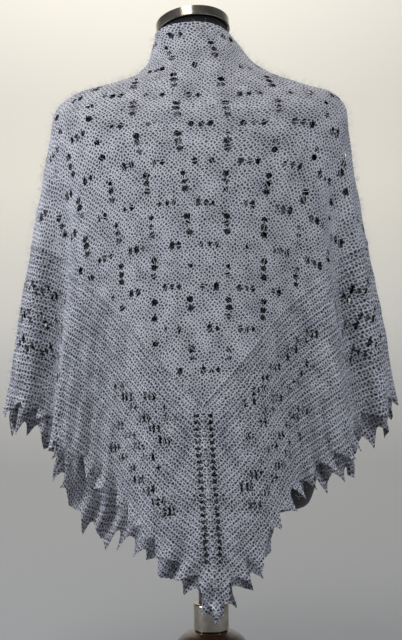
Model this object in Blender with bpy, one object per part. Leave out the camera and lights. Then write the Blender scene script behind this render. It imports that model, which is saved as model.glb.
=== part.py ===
"""Knitted lace shawl, a square folded corner to corner, worn over a counter-top dress form.

Metres, +Z up. The origin is the centre of the base's underside. -Y is the shawl's centre back,
where its corner hangs, and +X is the wearer's right. Flat cloth is measured from the middle of
its fold: s runs along the fold and t runs down the centre back to the corner.
"""
import math

import bmesh
import bpy
import numpy as np
from mathutils import Matrix, Vector
from mathutils.geometry import delaunay_2d_cdt

# The flat cut of one layer, half of the folded square
HALF_DIAGONAL = 0.880
CENTRE_HALF_DIAGONAL = 0.585
EDGING_WIDTH = 0.042
POINT_PITCH = 0.0415
POINT_DEPTH = 0.025
POINT_SHAPE = ((0.0, 0.0), (0.24, 0.74), (0.50, 1.0), (0.76, 0.74))
UNDER_LONGER = 0.030
NECK_HALF_ARC = 0.130

# The wall, and the room between the two layers away from the fold
WALL = 0.0020
SEAM_GAP = 0.0015
FOLD_ROOM = 0.0026
LAYER_ROOM = 0.0097
FOLD_ROOM_REACH = 0.034

# Mesh steps on the flat cloth, across and along the folds
COLUMN = 0.029
ROW = 0.050
SHOULDER_ROW = 0.026
SHOULDER_ROWS = 10
NECK_STEP = 0.013

# How the knit gives along its path: a little short at the centre, long at the sides, with a step
# at the side pleats (angles on the flat cloth); the corner hangs a little towards +X
PATH_AT_CENTRE = 0.966
PATH_AT_SIDE = 0.185
PATH_STEP = 0.024
PATH_STEP_ANGLE = 30
PATH_STEP_WIDTH = 7
BACK_DRIFT = 0.016

# How much lower (+) or higher (-) the hem of each layer hangs than its even cut: angle on the flat
# cloth in degrees, + towards +X, half width, and the drop of the upper and under layers
SAG_COLUMNS = ("angle", "width", "upper", "under")
SAGS = np.array((
    (-14.5, 5.4, 0.000, 0.048),
    (0.0, 2.6, -0.014, -0.033),
    (9.0, 4.0, -0.014, -0.046),
    (22.0, 5.0, 0.000, 0.012),
))
SAG_START = 0.46
SAG_REACH = 0.38

# How the cloth crowds together round the ring, at the centre back and at the front edges
BACK_FULLNESS = 1.14
EDGE_FULLNESS = 1.60

# Where the front edges stop round the ring, in degrees from the centre back
FRONT_EDGE_NECK = 130
FRONT_EDGE_LEFT = 150
FRONT_EDGE_RIGHT = 163
FRONT_EDGE_REACH = 0.25

# Rings of the worn cloth: path from the neck edge, half width, depth to the back and to the front,
# centre, and the height of the ring at the back, the sides and the front
RING_COLUMNS = ("path", "half", "back", "front", "cx", "cy", "z_back", "z_side", "z_front")
RINGS = np.array((
    (0.00, 0.056, 0.057, 0.056, -0.018, 0.062, 0.959, 0.951, 0.930),
    (0.02, 0.063, 0.062, 0.061, -0.013, 0.058, 0.940, 0.934, 0.911),
    (0.05, 0.077, 0.067, 0.072, -0.006, 0.050, 0.912, 0.906, 0.884),
    (0.07, 0.094, 0.074, 0.084, -0.003, 0.046, 0.895, 0.893, 0.866),
    (0.12, 0.140, 0.097, 0.109, -0.003, 0.036, 0.851, 0.875, 0.822),
    (0.17, 0.186, 0.117, 0.125, -0.004, 0.028, 0.811, 0.858, 0.773),
    (0.20, 0.205, 0.124, 0.134, -0.007, 0.025, 0.787, 0.838, 0.744),
    (0.24, 0.211, 0.129, 0.143, -0.009, 0.020, 0.749, 0.800, 0.704),
    (0.34, 0.227, 0.136, 0.155, -0.011, 0.020, 0.649, 0.700, 0.604),
    (0.45, 0.241, 0.141, 0.160, -0.011, 0.020, 0.540, 0.590, 0.495),
    (0.55, 0.255, 0.147, 0.164, -0.010, 0.020, 0.440, 0.491, 0.395),
    (0.65, 0.269, 0.151, 0.167, -0.010, 0.020, 0.340, 0.391, 0.295),
    (0.95, 0.290, 0.157, 0.172, -0.010, 0.020, 0.041, 0.092, -0.004),
))

# Folds: angle round the ring at the top and at the hem, path where it starts, half width, depth
# out (+) or in (-). Angles are degrees from the centre back, + towards +X
FOLD_COLUMNS = ("top", "hem", "start", "width", "depth")
FOLDS = np.array((
    (-146, -145, 0.10, 8, -0.010),
    (-133, -132, 0.14, 9, 0.016),
    (-119, -119, 0.16, 9, -0.018),
    (-105, -105, 0.20, 9, 0.016),
    (-90, -91, 0.22, 9, -0.017),
    (-77, -79, 0.22, 8, 0.012),
    (-69, -71, 0.22, 7, 0.009),
    (-57, -58, 0.20, 7.5, -0.025),
    (-44, -45, 0.22, 7, 0.011),
    (-29, -28, 0.30, 7, -0.009),
    (-14, -12, 0.36, 7, 0.006),
    (0, 0, 0.40, 7, 0.004),
    (14, 13, 0.36, 7, 0.004),
    (29, 27, 0.30, 7, -0.011),
    (44, 45, 0.22, 7, 0.012),
    (57, 58, 0.20, 7, -0.027),
    (70, 71, 0.22, 8, 0.014),
    (84, 84, 0.22, 9, -0.017),
    (99, 99, 0.20, 9, 0.016),
    (113, 113, 0.18, 9, -0.017),
    (127, 127, 0.16, 9, 0.017),
    (141, 141, 0.14, 9, -0.016),
    (156, 155, 0.12, 9, 0.012),
))
FOLD_GROWTH = 0.34

# Lace: the square lattice of the centre, the ladders beside the spine, the borders' staircases
LATTICE_PITCH = 0.0575
LATTICE_S = -0.014
LATTICE_ABOVE_CORNER = 0.050
LATTICE_MARGIN = 0.018
RUN_ACROSS = (0.0104, 0.0088)
RUN_ALONG = (0.0078, 0.0108)
LADDER_FROM_SPINE = 0.0105
LADDER_PITCH = 0.0185
LADDER_SLIT = (0.0098, 0.0062)
STAIR_SLIT = (0.0090, 0.0100)
STAIR_STEP = 0.0235

# Staircases of slits in the borders: side, distance out from the seam, and where each starts and
# ends along it from the corner
STAIR_COLUMNS = ("side", "across", "start", "end")
STAIRS = (
    (1, 0.046, 0.057, 0.235),
    (1, 0.080, 0.026, 0.203),
    (1, 0.118, -0.033, 0.153),
    (1, 0.144, -0.042, 0.122),
    (1, 0.046, 0.330, 0.490),
    (1, 0.080, 0.300, 0.460),
    (1, 0.114, 0.270, 0.430),
    (-1, 0.044, 0.028, 0.092),
    (-1, 0.072, 0.016, 0.150),
    (-1, 0.107, 0.000, 0.112),
    (-1, 0.141, -0.052, 0.090),
    (-1, 0.046, 0.330, 0.490),
    (-1, 0.080, 0.300, 0.460),
    (-1, 0.114, 0.270, 0.430),
)

# The dress form: height, centre, half width, depth back and front, and forward lean in degrees
LEAN = 17
TURN = 16
TORSO_COLUMNS = ("z", "cx", "cy", "half", "back", "front", "lean")
TORSO = np.array((
    (0.2770, -0.002, 0.002, 0.122, 0.086, 0.090, 0),
    (0.2850, -0.002, 0.002, 0.141, 0.098, 0.102, 0),
    (0.3250, -0.003, 0.002, 0.153, 0.106, 0.110, 0),
    (0.3800, -0.004, 0.003, 0.150, 0.102, 0.108, 0),
    (0.4400, -0.005, 0.006, 0.134, 0.092, 0.098, 0),
    (0.5000, -0.006, 0.010, 0.120, 0.082, 0.088, 0),
    (0.6000, -0.006, 0.018, 0.130, 0.088, 0.100, 0),
    (0.6800, -0.006, 0.022, 0.147, 0.098, 0.119, 0),
    (0.7500, -0.006, 0.024, 0.163, 0.103, 0.112, 0),
    (0.8000, -0.006, 0.028, 0.176, 0.100, 0.095, 0),
    (0.8340, -0.005, 0.034, 0.167, 0.083, 0.077, 2),
    (0.8560, -0.004, 0.040, 0.137, 0.070, 0.065, 5),
    (0.8700, -0.004, 0.045, 0.101, 0.060, 0.059, 8),
    (0.8850, -0.007, 0.050, 0.069, 0.053, 0.053, 11),
    (0.9040, -0.0123, 0.0549, 0.0510, 0.0490, 0.0490, 14),
    (0.9250, -0.0140, 0.0608, 0.0476, 0.0476, 0.0476, LEAN),
    (0.9580, -0.0168, 0.0705, 0.0476, 0.0476, 0.0476, LEAN),
))
TORSO_SIDES = 32

# The neck cap, the pole with its collar, and the turned base: radius, height
CAP_RADIUS = 0.0535
CAP_HEIGHT = 0.0150
CAP_WALL = 0.0030
PLATE_THICKNESS = 0.0090
POLE_RADIUS = 0.0175
COLLAR_RADIUS = 0.0245
COLLAR_TOP = 0.1450
COLLAR_ROUND = 0.0030
BASE_TOP = 0.1060
BASE_PROFILE = (
    (0.1300, 0.0000), (0.1310, 0.0050), (0.1295, 0.0130), (0.1180, 0.0200), (0.0900, 0.0285),
    (0.0680, 0.0420), (0.0580, 0.0580), (0.0550, 0.0740), (0.0500, 0.0880), (0.0400, 0.0990),
    (0.0270, BASE_TOP),
)
TURNED_SIDES = 32
TOUCH = 0.0003


def clear_scene():
    for obj in list(bpy.data.objects):
        bpy.data.objects.remove(obj, do_unlink=True)


def material(name, colour, roughness, metallic=0.0):
    made = bpy.data.materials.new(name)
    made.use_nodes = True
    shader = made.node_tree.nodes["Principled BSDF"]
    shader.inputs["Base Color"].default_value = (*colour, 1.0)
    shader.inputs["Roughness"].default_value = roughness
    shader.inputs["Metallic"].default_value = metallic
    return made


def add_object(name, bm, finish, smooth=True):
    mesh = bpy.data.meshes.new(name)
    bm.to_mesh(mesh)
    bm.free()
    if smooth:
        mesh.shade_smooth()
        mesh.set_sharp_from_angle(angle=math.radians(40))
    mesh.materials.append(finish)
    obj = bpy.data.objects.new(name, mesh)
    bpy.context.scene.collection.objects.link(obj)
    return obj


def smooth_step(x):
    x = np.clip(x, 0.0, 1.0)
    return x * x * (3 - 2 * x)


def ring_at(path):
    """The named columns of the ring at each path length, by a smooth curve through RINGS."""
    rows = RINGS[:, 0]
    slopes = np.gradient(RINGS, rows, axis=0)
    i = np.clip(np.searchsorted(rows, path) - 1, 0, len(rows) - 2)
    step = rows[i + 1] - rows[i]
    x = ((path - rows[i]) / step)[:, None]
    step = step[:, None]
    values = (
        RINGS[i] * (2 * x**3 - 3 * x**2 + 1)
        + slopes[i] * step * (x**3 - 2 * x**2 + x)
        + RINGS[i + 1] * (3 * x**2 - 2 * x**3)
        + slopes[i + 1] * step * (x**3 - x**2)
    )
    return dict(zip(RING_COLUMNS, values.T))


def fan_angle(u):
    """The angle of ray u from the centre back on the flat cloth: u is 0 there, 1 on the fold."""
    return math.pi / 2 * (0.36 * u + 0.64 * u**5)


def flat_point(u, d):
    side = np.sign(u)
    angle = fan_angle(np.abs(u))
    return NECK_HALF_ARC * u + side * d * np.sin(angle), d * np.cos(angle)


def ray_of(s, t):
    """The ray u and the distance d along it of each flat point, found by halving."""
    s, t = np.atleast_1d(s).astype(float), np.atleast_1d(t).astype(float)
    side = np.where(s < 0, -1.0, 1.0)
    s = np.abs(s)
    low, high = np.zeros_like(s), np.ones_like(s)
    for _ in range(44):
        u = (low + high) / 2
        angle = fan_angle(u)
        beyond = (s - NECK_HALF_ARC * u) * np.cos(angle) > t * np.sin(angle)
        low, high = np.where(beyond, u, low), np.where(beyond, high, u)
    return side * u, np.hypot(s - NECK_HALF_ARC * u, t)


def share_of_arc(a, ratio):
    """Where a share a of the flat arc lies on the worn ring, when the cloth is ratio times as long."""
    first = np.maximum(1.0, ratio / BACK_FULLNESS)
    last = np.maximum(1.0, ratio / EDGE_FULLNESS)
    return (3 * a**2 - 2 * a**3) + first * (a - 2 * a**2 + a**3) + last * (a**3 - a**2)


def ring_angle(u, d, ring, path):
    """The angle round the ring of each point, + towards +X, so that the cloth spreads evenly."""
    grid = np.radians(np.linspace(0, 180, 91))
    half, back, front = (ring[name][:, None] for name in ("half", "back", "front"))
    depth = np.where(np.cos(grid) > 0, back, front)
    speed = np.hypot(half * np.cos(grid), depth * np.sin(grid))
    arc = np.zeros_like(speed)
    arc[:, 1:] = np.cumsum((speed[:, 1:] + speed[:, :-1]) / 2 * np.diff(grid), axis=1)
    far = np.where(u < 0, FRONT_EDGE_LEFT, FRONT_EDGE_RIGHT)
    edge = FRONT_EDGE_NECK + (far - FRONT_EDGE_NECK) * smooth_step(path / FRONT_EDGE_REACH)
    side = np.abs(u)
    flat = NECK_HALF_ARC * (side - 0.25 * side**4) + d * fan_angle(side)
    whole = NECK_HALF_ARC * 0.75 + d * math.pi / 2
    worn = np.array([np.interp(e, grid, row) for e, row in zip(np.radians(edge), arc)])
    goal = worn * share_of_arc(flat / whole, whole / worn)
    found = np.array([np.interp(g, row, grid) for g, row in zip(goal, arc)])
    return np.where(u < 0, -found, found)


def fold_height(angle, path):
    total = np.zeros_like(angle)
    for row in FOLDS:
        fold = dict(zip(FOLD_COLUMNS, row))
        grown = smooth_step((path - fold["start"]) / FOLD_GROWTH)
        turned_by = (fold["hem"] - fold["top"]) * smooth_step((path - fold["start"]) / (2 * FOLD_GROWTH))
        away = (angle - np.radians(fold["top"] + turned_by)) / math.radians(fold["width"])
        total += fold["depth"] * grown * np.exp(-(away**2))
    return total


def worn_point(u, d):
    """The worn place of the upper layer's middle surface at ray u and distance d."""
    angle_on_cloth = fan_angle(np.abs(u))
    past_step = (np.degrees(angle_on_cloth) - PATH_STEP_ANGLE) / PATH_STEP_WIDTH
    step = PATH_STEP * past_step * np.exp(-(past_step**2))
    path = d * (PATH_AT_CENTRE + PATH_AT_SIDE * np.sin(2 * angle_on_cloth) ** 2 - step)
    ring = ring_at(path)
    angle = ring_angle(u, d, ring, path)
    sine, cosine = np.sin(angle), np.cos(angle)
    depth = np.where(cosine > 0, ring["back"], ring["front"])
    out = np.stack((depth * sine, -ring["half"] * cosine), axis=1)
    out /= np.linalg.norm(out, axis=1)[:, None]
    lift = fold_height(angle, path)
    ends = np.where(cosine > 0, ring["z_back"], ring["z_front"])
    height = ring["z_side"] * sine**2 + ends * cosine**2
    drift = BACK_DRIFT * smooth_step((path - 0.50) / 0.36) * np.maximum(cosine, 0) ** 2
    x = ring["cx"] + ring["half"] * sine + out[:, 0] * lift + drift
    y = ring["cy"] - depth * cosine + out[:, 1] * lift
    return np.stack((x, y, height), axis=1)


def sagged(u, d, layer):
    """The distance along the ray whose worn place each point of the layer takes."""
    s, t = flat_point(u, d)
    angle = np.degrees(np.sign(u) * fan_angle(np.abs(u)))
    total = np.zeros_like(d)
    for row in SAGS:
        sag = dict(zip(SAG_COLUMNS, row))
        total += sag[layer] * np.exp(-(((angle - sag["angle"]) / sag["width"]) ** 2))
    return d + total * smooth_step((np.abs(s) + t - SAG_START) / SAG_REACH)


def worn_surface(u, d):
    """The worn points and the outward normals there."""
    nudge = 0.002
    inside = np.clip(u, -1 + nudge, 1 - nudge)
    across = worn_point(inside + nudge, d) - worn_point(inside - nudge, d)
    near = np.maximum(d - nudge, 0)
    along = worn_point(u, d + nudge) - worn_point(u, near)
    normal = np.cross(across, -along)
    normal /= np.linalg.norm(normal, axis=1)[:, None]
    return worn_point(u, d), normal


def column_of(u):
    side = np.abs(u)
    return np.sign(u) * (NECK_HALF_ARC * side + 0.5 * fan_angle(side)) / COLUMN


def row_of(d):
    """The row number at distance d: rows lie closer over the shoulders, where the cloth turns."""
    over = SHOULDER_ROW * SHOULDER_ROWS
    return np.where(d < over, d / SHOULDER_ROW, SHOULDER_ROWS + (d - over) / ROW)


def grid_rays():
    """Rays and distances of the plain grid: fewer columns near the neck, where rays draw close."""
    dense = np.linspace(0, 1, 2000)
    last = int(column_of(np.array([1.0]))[0])
    found = []
    distances = np.linspace(0, HALF_DIAGONAL + UNDER_LONGER, 2000)
    for row in range(1, int(row_of(distances[-1])) + 1):
        stride = 2 if row < SHOULDER_ROWS - 2 else 1
        d = np.interp(row, row_of(distances), distances)
        for column in range(-last, last + 1):
            if column % stride == 0:
                u = math.copysign(np.interp(abs(column), column_of(dense), dense), column)
                found.append((u, d))
    return np.array(found)


def along_edge(start, end, spacing):
    """Flat points from start to end, about a spacing apart, without the last one."""
    (s0, t0), (s1, t1) = start, end
    count = max(1, round(math.hypot(s1 - s0, t1 - t0) / spacing))
    return [(s0 + (s1 - s0) * k / count, t0 + (t1 - t0) * k / count) for k in range(count)]


def hem_points(half_diagonal, side):
    """The pointed hem from the fold to the corner, on one side (+1 or -1)."""
    count = round(half_diagonal * math.sqrt(2) / POINT_PITCH)
    points = [(side * half_diagonal, 0)]
    for k in range(count):
        for share, depth in POINT_SHAPE:
            along = (k + share) / count * half_diagonal
            inset = depth * POINT_DEPTH / math.sqrt(2)
            s = half_diagonal - along - inset
            t = along - inset
            if t > SEAM_GAP and s > SEAM_GAP:
                points.append((side * s, t))
    points.append((side * SEAM_GAP / 2, half_diagonal - SEAM_GAP / 2))
    return points


def inside_outline(points, outline):
    """Whether each point lies in the closed outline, by counting crossings."""
    inside = np.zeros(len(points), bool)
    x, y = points[:, 0], points[:, 1]
    for (x0, y0), (x1, y1) in zip(outline, np.roll(outline, -1, axis=0)):
        crosses = (y0 > y) != (y1 > y)
        if crosses.any():
            at = x0 + (y - y0) / ((y1 - y0) or 1e-12) * (x1 - x0)
            inside ^= crosses & (x < at)
    return inside


def distance_to(points, outline):
    ends = np.roll(outline, -1, axis=0)
    run = ends - outline
    share = np.einsum("pki,ki->pk", points[:, None] - outline, run) / (run**2).sum(1)
    nearest = outline + np.clip(share, 0, 1)[:, :, None] * run
    return np.linalg.norm(points[:, None] - nearest, axis=2).min(1)


def diamond(s, t, size):
    return [(s - size[0] / 2, t), (s, t - size[1] / 2), (s + size[0] / 2, t), (s, t + size[1] / 2)]


def triangulate(outline, holes, spacing):
    """Triangles over a flat outline less its holes: returns rays, distances and faces."""
    loops = [outline, *holes]
    flat = np.array([p for loop in loops for p in loop])
    edges, first = [], 0
    for loop in loops:
        edges += [(first + k, first + (k + 1) % len(loop)) for k in range(len(loop))]
        first += len(loop)
    grid = grid_rays()
    inner = np.stack(flat_point(grid[:, 0], grid[:, 1]), axis=1)
    keep = inside_outline(inner, np.array(outline)) & (distance_to(inner, flat) > spacing)
    u, d = ray_of(flat[:, 0], flat[:, 1])
    u, d = np.concatenate((u, grid[keep, 0])), np.concatenate((d, grid[keep, 1]))
    plane = [Vector((x, y)) for x, y in zip(column_of(u), row_of(d))]
    _, _, faces, sources, _, _ = delaunay_2d_cdt(plane, edges, [], 2, 1e-6)
    order = [source[0] for source in sources if source]
    if len(order) < len(sources):
        raise ValueError("an outline or a hole crosses another")
    hole_of = np.full(len(u), -1)
    first = len(outline)
    for number, hole in enumerate(holes):
        hole_of[first:first + len(hole)] = number
        first += len(hole)
    kept = []
    for face in faces:
        numbers = {hole_of[order[k]] for k in face}
        if len(numbers) > 1 or -1 in numbers:
            kept.append(face)
    return u[order], d[order], kept


def cloth_wall(name, outline, holes, under, finish):
    """A wall of even thickness over a flat outline, cut through at its holes."""
    u, d, faces = triangulate(outline, holes, 0.010)
    middle, normal = worn_surface(u, sagged(u, d, "under" if under else "upper"))
    if under:
        fold_distance = d * np.cos(fan_angle(np.abs(u)))
        room = FOLD_ROOM + (LAYER_ROOM - FOLD_ROOM) * smooth_step(fold_distance / FOLD_ROOM_REACH)
        middle = middle - normal * room[:, None]
    bm = bmesh.new()
    outer = [bm.verts.new(p) for p in middle + normal * (WALL / 2)]
    inner = [bm.verts.new(p) for p in middle - normal * (WALL / 2)]
    sides = set()
    for face in faces:
        bm.faces.new([outer[k] for k in face])
        bm.faces.new([inner[k] for k in reversed(face)])
        sides.update(zip(face, (*face[1:], face[0])))
    for a, b in sorted(sides):
        if (b, a) not in sides:
            bm.faces.new((outer[b], outer[a], inner[a], inner[b]))
    bmesh.ops.recalc_face_normals(bm, faces=bm.faces)
    return add_object(name, bm, finish)


def clear_of_edges(s, t):
    return t > LATTICE_MARGIN and abs(s) + t < CENTRE_HALF_DIAGONAL - LATTICE_MARGIN


def lattice_holes():
    """The middle eyelet of each run on the sides of the centre's squares."""
    found = []
    top = CENTRE_HALF_DIAGONAL - LATTICE_ABOVE_CORNER
    reach = int(CENTRE_HALF_DIAGONAL / LATTICE_PITCH) + 1
    for column in range(-reach, reach + 1):
        for row in range(reach):
            s = LATTICE_S + column * LATTICE_PITCH
            t = top - row * LATTICE_PITCH
            found.append(diamond(s, t - LATTICE_PITCH / 2, RUN_ACROSS))
            found.append(diamond(s + LATTICE_PITCH / 2, t, RUN_ALONG))
    return [hole for hole in found if all(clear_of_edges(s, t) for s, t in hole)]


def ladder_holes(side):
    first = CENTRE_HALF_DIAGONAL + 0.030
    last = HALF_DIAGONAL - EDGING_WIDTH * math.sqrt(2) - 0.022
    count = int((last - first) / LADDER_PITCH)
    return [diamond(side * LADDER_FROM_SPINE, first + k * LADDER_PITCH, LADDER_SLIT)
            for k in range(count + 1)]


def stair_holes(side):
    """The slits of one border's staircases."""
    found = []
    for row in STAIRS:
        stair = dict(zip(STAIR_COLUMNS, row))
        if stair["side"] != side:
            continue
        out = stair["across"] / math.sqrt(2)
        for k in range(int((stair["end"] - stair["start"]) / STAIR_STEP) + 1):
            along = (stair["start"] + k * STAIR_STEP) / math.sqrt(2)
            s, t = along + out, CENTRE_HALF_DIAGONAL - along + out
            found.append(diamond(side * s, t, STAIR_SLIT))
    return found


def make_layer(prefix, longer, under, holes, finish):
    """One layer: the centre, its two borders and its two pointed edgings."""
    centre = CENTRE_HALF_DIAGONAL
    half = HALF_DIAGONAL + longer
    band = half - EDGING_WIDTH * math.sqrt(2)
    gap = SEAM_GAP * math.sqrt(2) / 2
    neck = NECK_HALF_ARC
    top = along_edge((-centre + gap, 0), (-neck, 0), ROW)
    top += along_edge((-neck, 0), (neck, 0), NECK_STEP)
    top += along_edge((neck, 0), (centre - gap, 0), ROW)
    seam = along_edge((centre - gap, 0), (0, centre - gap), COLUMN)
    seam += along_edge((0, centre - gap), (-centre + gap, 0), COLUMN)
    cloth_wall(prefix + "centre_panel", top + seam, holes["centre"], under, finish)
    spine = SEAM_GAP / 2
    for word, side in (("left", -1), ("right", 1)):
        corners = ((centre + gap, 0), (spine, centre + gap - spine), (spine, band - gap - spine),
                   (band - gap, 0), (centre + gap, 0))
        steps = (COLUMN, ROW, COLUMN, ROW)
        border = []
        for start, end, step in zip(corners[:-1], corners[1:], steps):
            border += along_edge(start, end, step)
        mirrored = [(side * s, t) for s, t in border]
        cloth_wall(f"{prefix}border_{word}", mirrored, holes[word], under, finish)
        strip = along_edge((band + gap, 0), (spine, band + gap - spine), COLUMN)
        strip.append((spine, band + gap - spine))
        edging = [(side * s, t) for s, t in strip] + hem_points(half, side)[::-1]
        cloth_wall(f"{prefix}edging_{word}", edging, [], under, finish)


def tilt(degrees):
    """A lean away from the camera's side, turned as the form is under the shawl."""
    turn = Matrix.Rotation(math.radians(TURN), 4, "Z")
    return turn @ Matrix.Rotation(math.radians(-degrees), 4, "X") @ turn.inverted()


def make_torso(finish):
    bm = bmesh.new()
    loops = []
    for row in TORSO:
        ring = dict(zip(TORSO_COLUMNS, row))
        placed = Matrix.Translation((ring["cx"], ring["cy"], ring["z"])) @ tilt(ring["lean"])
        loop = []
        for k in range(TORSO_SIDES):
            angle = 2 * math.pi * k / TORSO_SIDES
            depth = ring["back"] if math.cos(angle) > 0 else ring["front"]
            point = Vector((ring["half"] * math.sin(angle), -depth * math.cos(angle), 0))
            loop.append(bm.verts.new(placed @ point))
        loops.append(loop)
    for low, high in zip(loops[:-1], loops[1:]):
        for k in range(TORSO_SIDES):
            after = (k + 1) % TORSO_SIDES
            bm.faces.new((low[k], low[after], high[after], high[k]))
    bm.faces.new(loops[0])
    bm.faces.new(loops[-1])
    bmesh.ops.recalc_face_normals(bm, faces=bm.faces)
    add_object("form_torso", bm, finish)


def turned(name, profile, finish, placed=None):
    """A solid of revolution about +Z from radius and height pairs; one that starts off the axis
    is a tube, so its profile is closed."""
    bm = bmesh.new()
    verts = [bm.verts.new((radius, 0, z)) for radius, z in profile]
    edges = [bm.edges.new(pair) for pair in zip(verts[:-1], verts[1:])]
    if profile[0][0] > 0:
        edges.append(bm.edges.new((verts[-1], verts[0])))
    bmesh.ops.spin(bm, geom=verts + edges, cent=(0, 0, 0), axis=(0, 0, 1),
                   angle=2 * math.pi, steps=TURNED_SIDES, use_merge=True)
    bmesh.ops.remove_doubles(bm, verts=bm.verts, dist=1e-6)
    if placed is not None:
        bmesh.ops.transform(bm, matrix=placed, verts=bm.verts)
    bmesh.ops.recalc_face_normals(bm, faces=bm.faces)
    return add_object(name, bm, finish)


def make_stand(finishes):
    z, cx, cy = TORSO[-1][:3]
    cap = Matrix.Translation((cx, cy, z)) @ tilt(LEAN) @ Matrix.Translation((0, 0, TOUCH))
    inner = CAP_RADIUS - CAP_WALL
    band = ((inner, 0), (CAP_RADIUS, 0), (CAP_RADIUS, CAP_HEIGHT), (inner, CAP_HEIGHT))
    turned("neck_cap_band", band, finishes["metal"], cap)
    plate = inner - TOUCH
    top = ((0, 0), (plate, 0), (plate, PLATE_THICKNESS), (plate * 0.6, PLATE_THICKNESS + 0.0030),
           (0, PLATE_THICKNESS + 0.0040))
    turned("neck_cap_plate", top, finishes["plate"], cap)
    torso_bottom = TORSO[0][0]
    pole_top = torso_bottom - TOUCH
    pole = ((0, BASE_TOP + TOUCH), (POLE_RADIUS, BASE_TOP + TOUCH), (POLE_RADIUS, pole_top),
            (0, pole_top))
    turned("pole", pole, finishes["wood"])
    bore = POLE_RADIUS + TOUCH
    bottom = BASE_TOP + TOUCH
    edge = COLLAR_RADIUS - COLLAR_ROUND
    collar = ((bore, bottom), (edge, bottom), (COLLAR_RADIUS, bottom + COLLAR_ROUND),
              (COLLAR_RADIUS, COLLAR_TOP - COLLAR_ROUND), (edge, COLLAR_TOP), (bore, COLLAR_TOP))
    turned("pole_collar", collar, finishes["metal"])
    turned("base", ((0, 0), *BASE_PROFILE, (0, BASE_TOP)), finishes["wood"])


def main():
    clear_scene()
    yarn = material("mohair_yarn", (0.36, 0.37, 0.40), 0.9)
    finishes = {
        "metal": material("polished_steel", (0.75, 0.74, 0.72), 0.15, 1.0),
        "plate": material("black_lacquer", (0.01, 0.01, 0.01), 0.3),
        "wood": material("dark_wood", (0.06, 0.025, 0.015), 0.3),
    }
    holes = {
        "centre": lattice_holes(),
        "left": ladder_holes(-1) + stair_holes(-1),
        "right": ladder_holes(1) + stair_holes(1),
    }
    plain = {"centre": [], "left": [], "right": []}
    make_layer("", 0.0, False, holes, yarn)
    make_layer("under_", UNDER_LONGER, True, plain, yarn)
    make_torso(material("black_jersey", (0.012, 0.012, 0.014), 0.85))
    make_stand(finishes)


main()
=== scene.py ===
import math
import random

import bmesh
import bpy
import numpy as np
from mathutils import Matrix, Vector


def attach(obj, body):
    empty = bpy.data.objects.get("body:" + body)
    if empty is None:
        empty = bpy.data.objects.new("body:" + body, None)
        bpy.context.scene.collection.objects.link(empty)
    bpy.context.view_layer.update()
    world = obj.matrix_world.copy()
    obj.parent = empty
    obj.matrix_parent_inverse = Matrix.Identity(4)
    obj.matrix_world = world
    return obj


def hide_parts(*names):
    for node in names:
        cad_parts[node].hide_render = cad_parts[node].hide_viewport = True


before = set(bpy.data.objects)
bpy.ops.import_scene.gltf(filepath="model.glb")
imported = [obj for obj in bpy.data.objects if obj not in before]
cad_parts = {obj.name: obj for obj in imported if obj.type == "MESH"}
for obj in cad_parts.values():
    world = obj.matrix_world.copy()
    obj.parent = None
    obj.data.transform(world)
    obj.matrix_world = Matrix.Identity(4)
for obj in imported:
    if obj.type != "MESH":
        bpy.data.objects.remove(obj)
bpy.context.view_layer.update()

chance = random.Random(7)


def linear(hexColour):
    # sRGB hex to the linear values that Blender's sockets take
    values = [int(hexColour[k:k + 2], 16) / 255 for k in (1, 3, 5)]
    return tuple(v / 12.92 if v <= 0.04045 else ((v + 0.055) / 1.055) ** 2.4 for v in values) + (1.0,)


def addNode(tree, kind, settings=None, inputs=None, links=None):
    # one shader node with its settings, input values and links, from sockets or nodes' first outputs
    node = tree.nodes.new("ShaderNode" + kind)
    for name, value in (settings or {}).items():
        setattr(node, name, value)
    for name, value in (inputs or {}).items():
        node.inputs[name].default_value = value
    for name, source in (links or {}).items():
        socket = source.outputs[0] if isinstance(source, bpy.types.Node) else source
        tree.links.new(socket, node.inputs[name])
    return node


def newMaterial(name, **values):
    # a material with values for its shader's sockets, whose names have _ in place of spaces
    material = bpy.data.materials.new(name)
    material.use_nodes = True
    shader = material.node_tree.nodes["Principled BSDF"]
    for socket, value in values.items():
        shader.inputs[socket.replace("_", " ")].default_value = value
    return material, material.node_tree, shader


def ramp(tree, factor, *stops):
    node = addNode(tree, "ValToRGB", links={"Fac": factor})
    elements = node.color_ramp.elements
    for k, (place, colour) in enumerate(stops):
        element = elements[k] if k < 2 else elements.new(place)
        element.position = place
        element.color = linear(colour)
    return node.outputs["Color"]


def paint(tree, shader, colour, height=None, strength=1.0, distance=0.001):
    # links a colour to the shader, and a relief where there is one
    tree.links.new(colour, shader.inputs["Base Color"])
    if height is not None:
        bump = addNode(tree, "Bump", inputs={"Strength": strength, "Distance": distance},
                       links={"Height": height})
        tree.links.new(bump.outputs[0], shader.inputs["Normal"])


def finishPiece(name, bm, material):
    mesh = bpy.data.meshes.new(name)
    bm.to_mesh(mesh)
    bm.free()
    mesh.shade_smooth()
    mesh.materials.append(material)
    obj = bpy.data.objects.new(name, mesh)
    bpy.context.scene.collection.objects.link(obj)
    return obj


def smoothStep(x):
    x = np.clip(x, 0.0, 1.0)
    return x * x * (3 - 2 * x)


def between(table, slopes, i, x, step):
    # a smooth curve through a table's rows, at a share x past each row i
    return (
        table[i] * (2 * x**3 - 3 * x**2 + 1) + slopes[i] * step * (x**3 - 2 * x**2 + x)
        + table[i + 1] * (3 * x**2 - 2 * x**3) + slopes[i + 1] * step * (x**3 - x**2)
    )


def unit(vectors):
    return vectors / (np.linalg.norm(vectors, axis=-1)[..., None] + 1e-12)


def drifted(start, x, waves):
    # start, carried off by slow waves along x, so that nothing repeats evenly
    for size, turns in waves:
        start = start + size * np.sin(x * turns)
    return start


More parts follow.
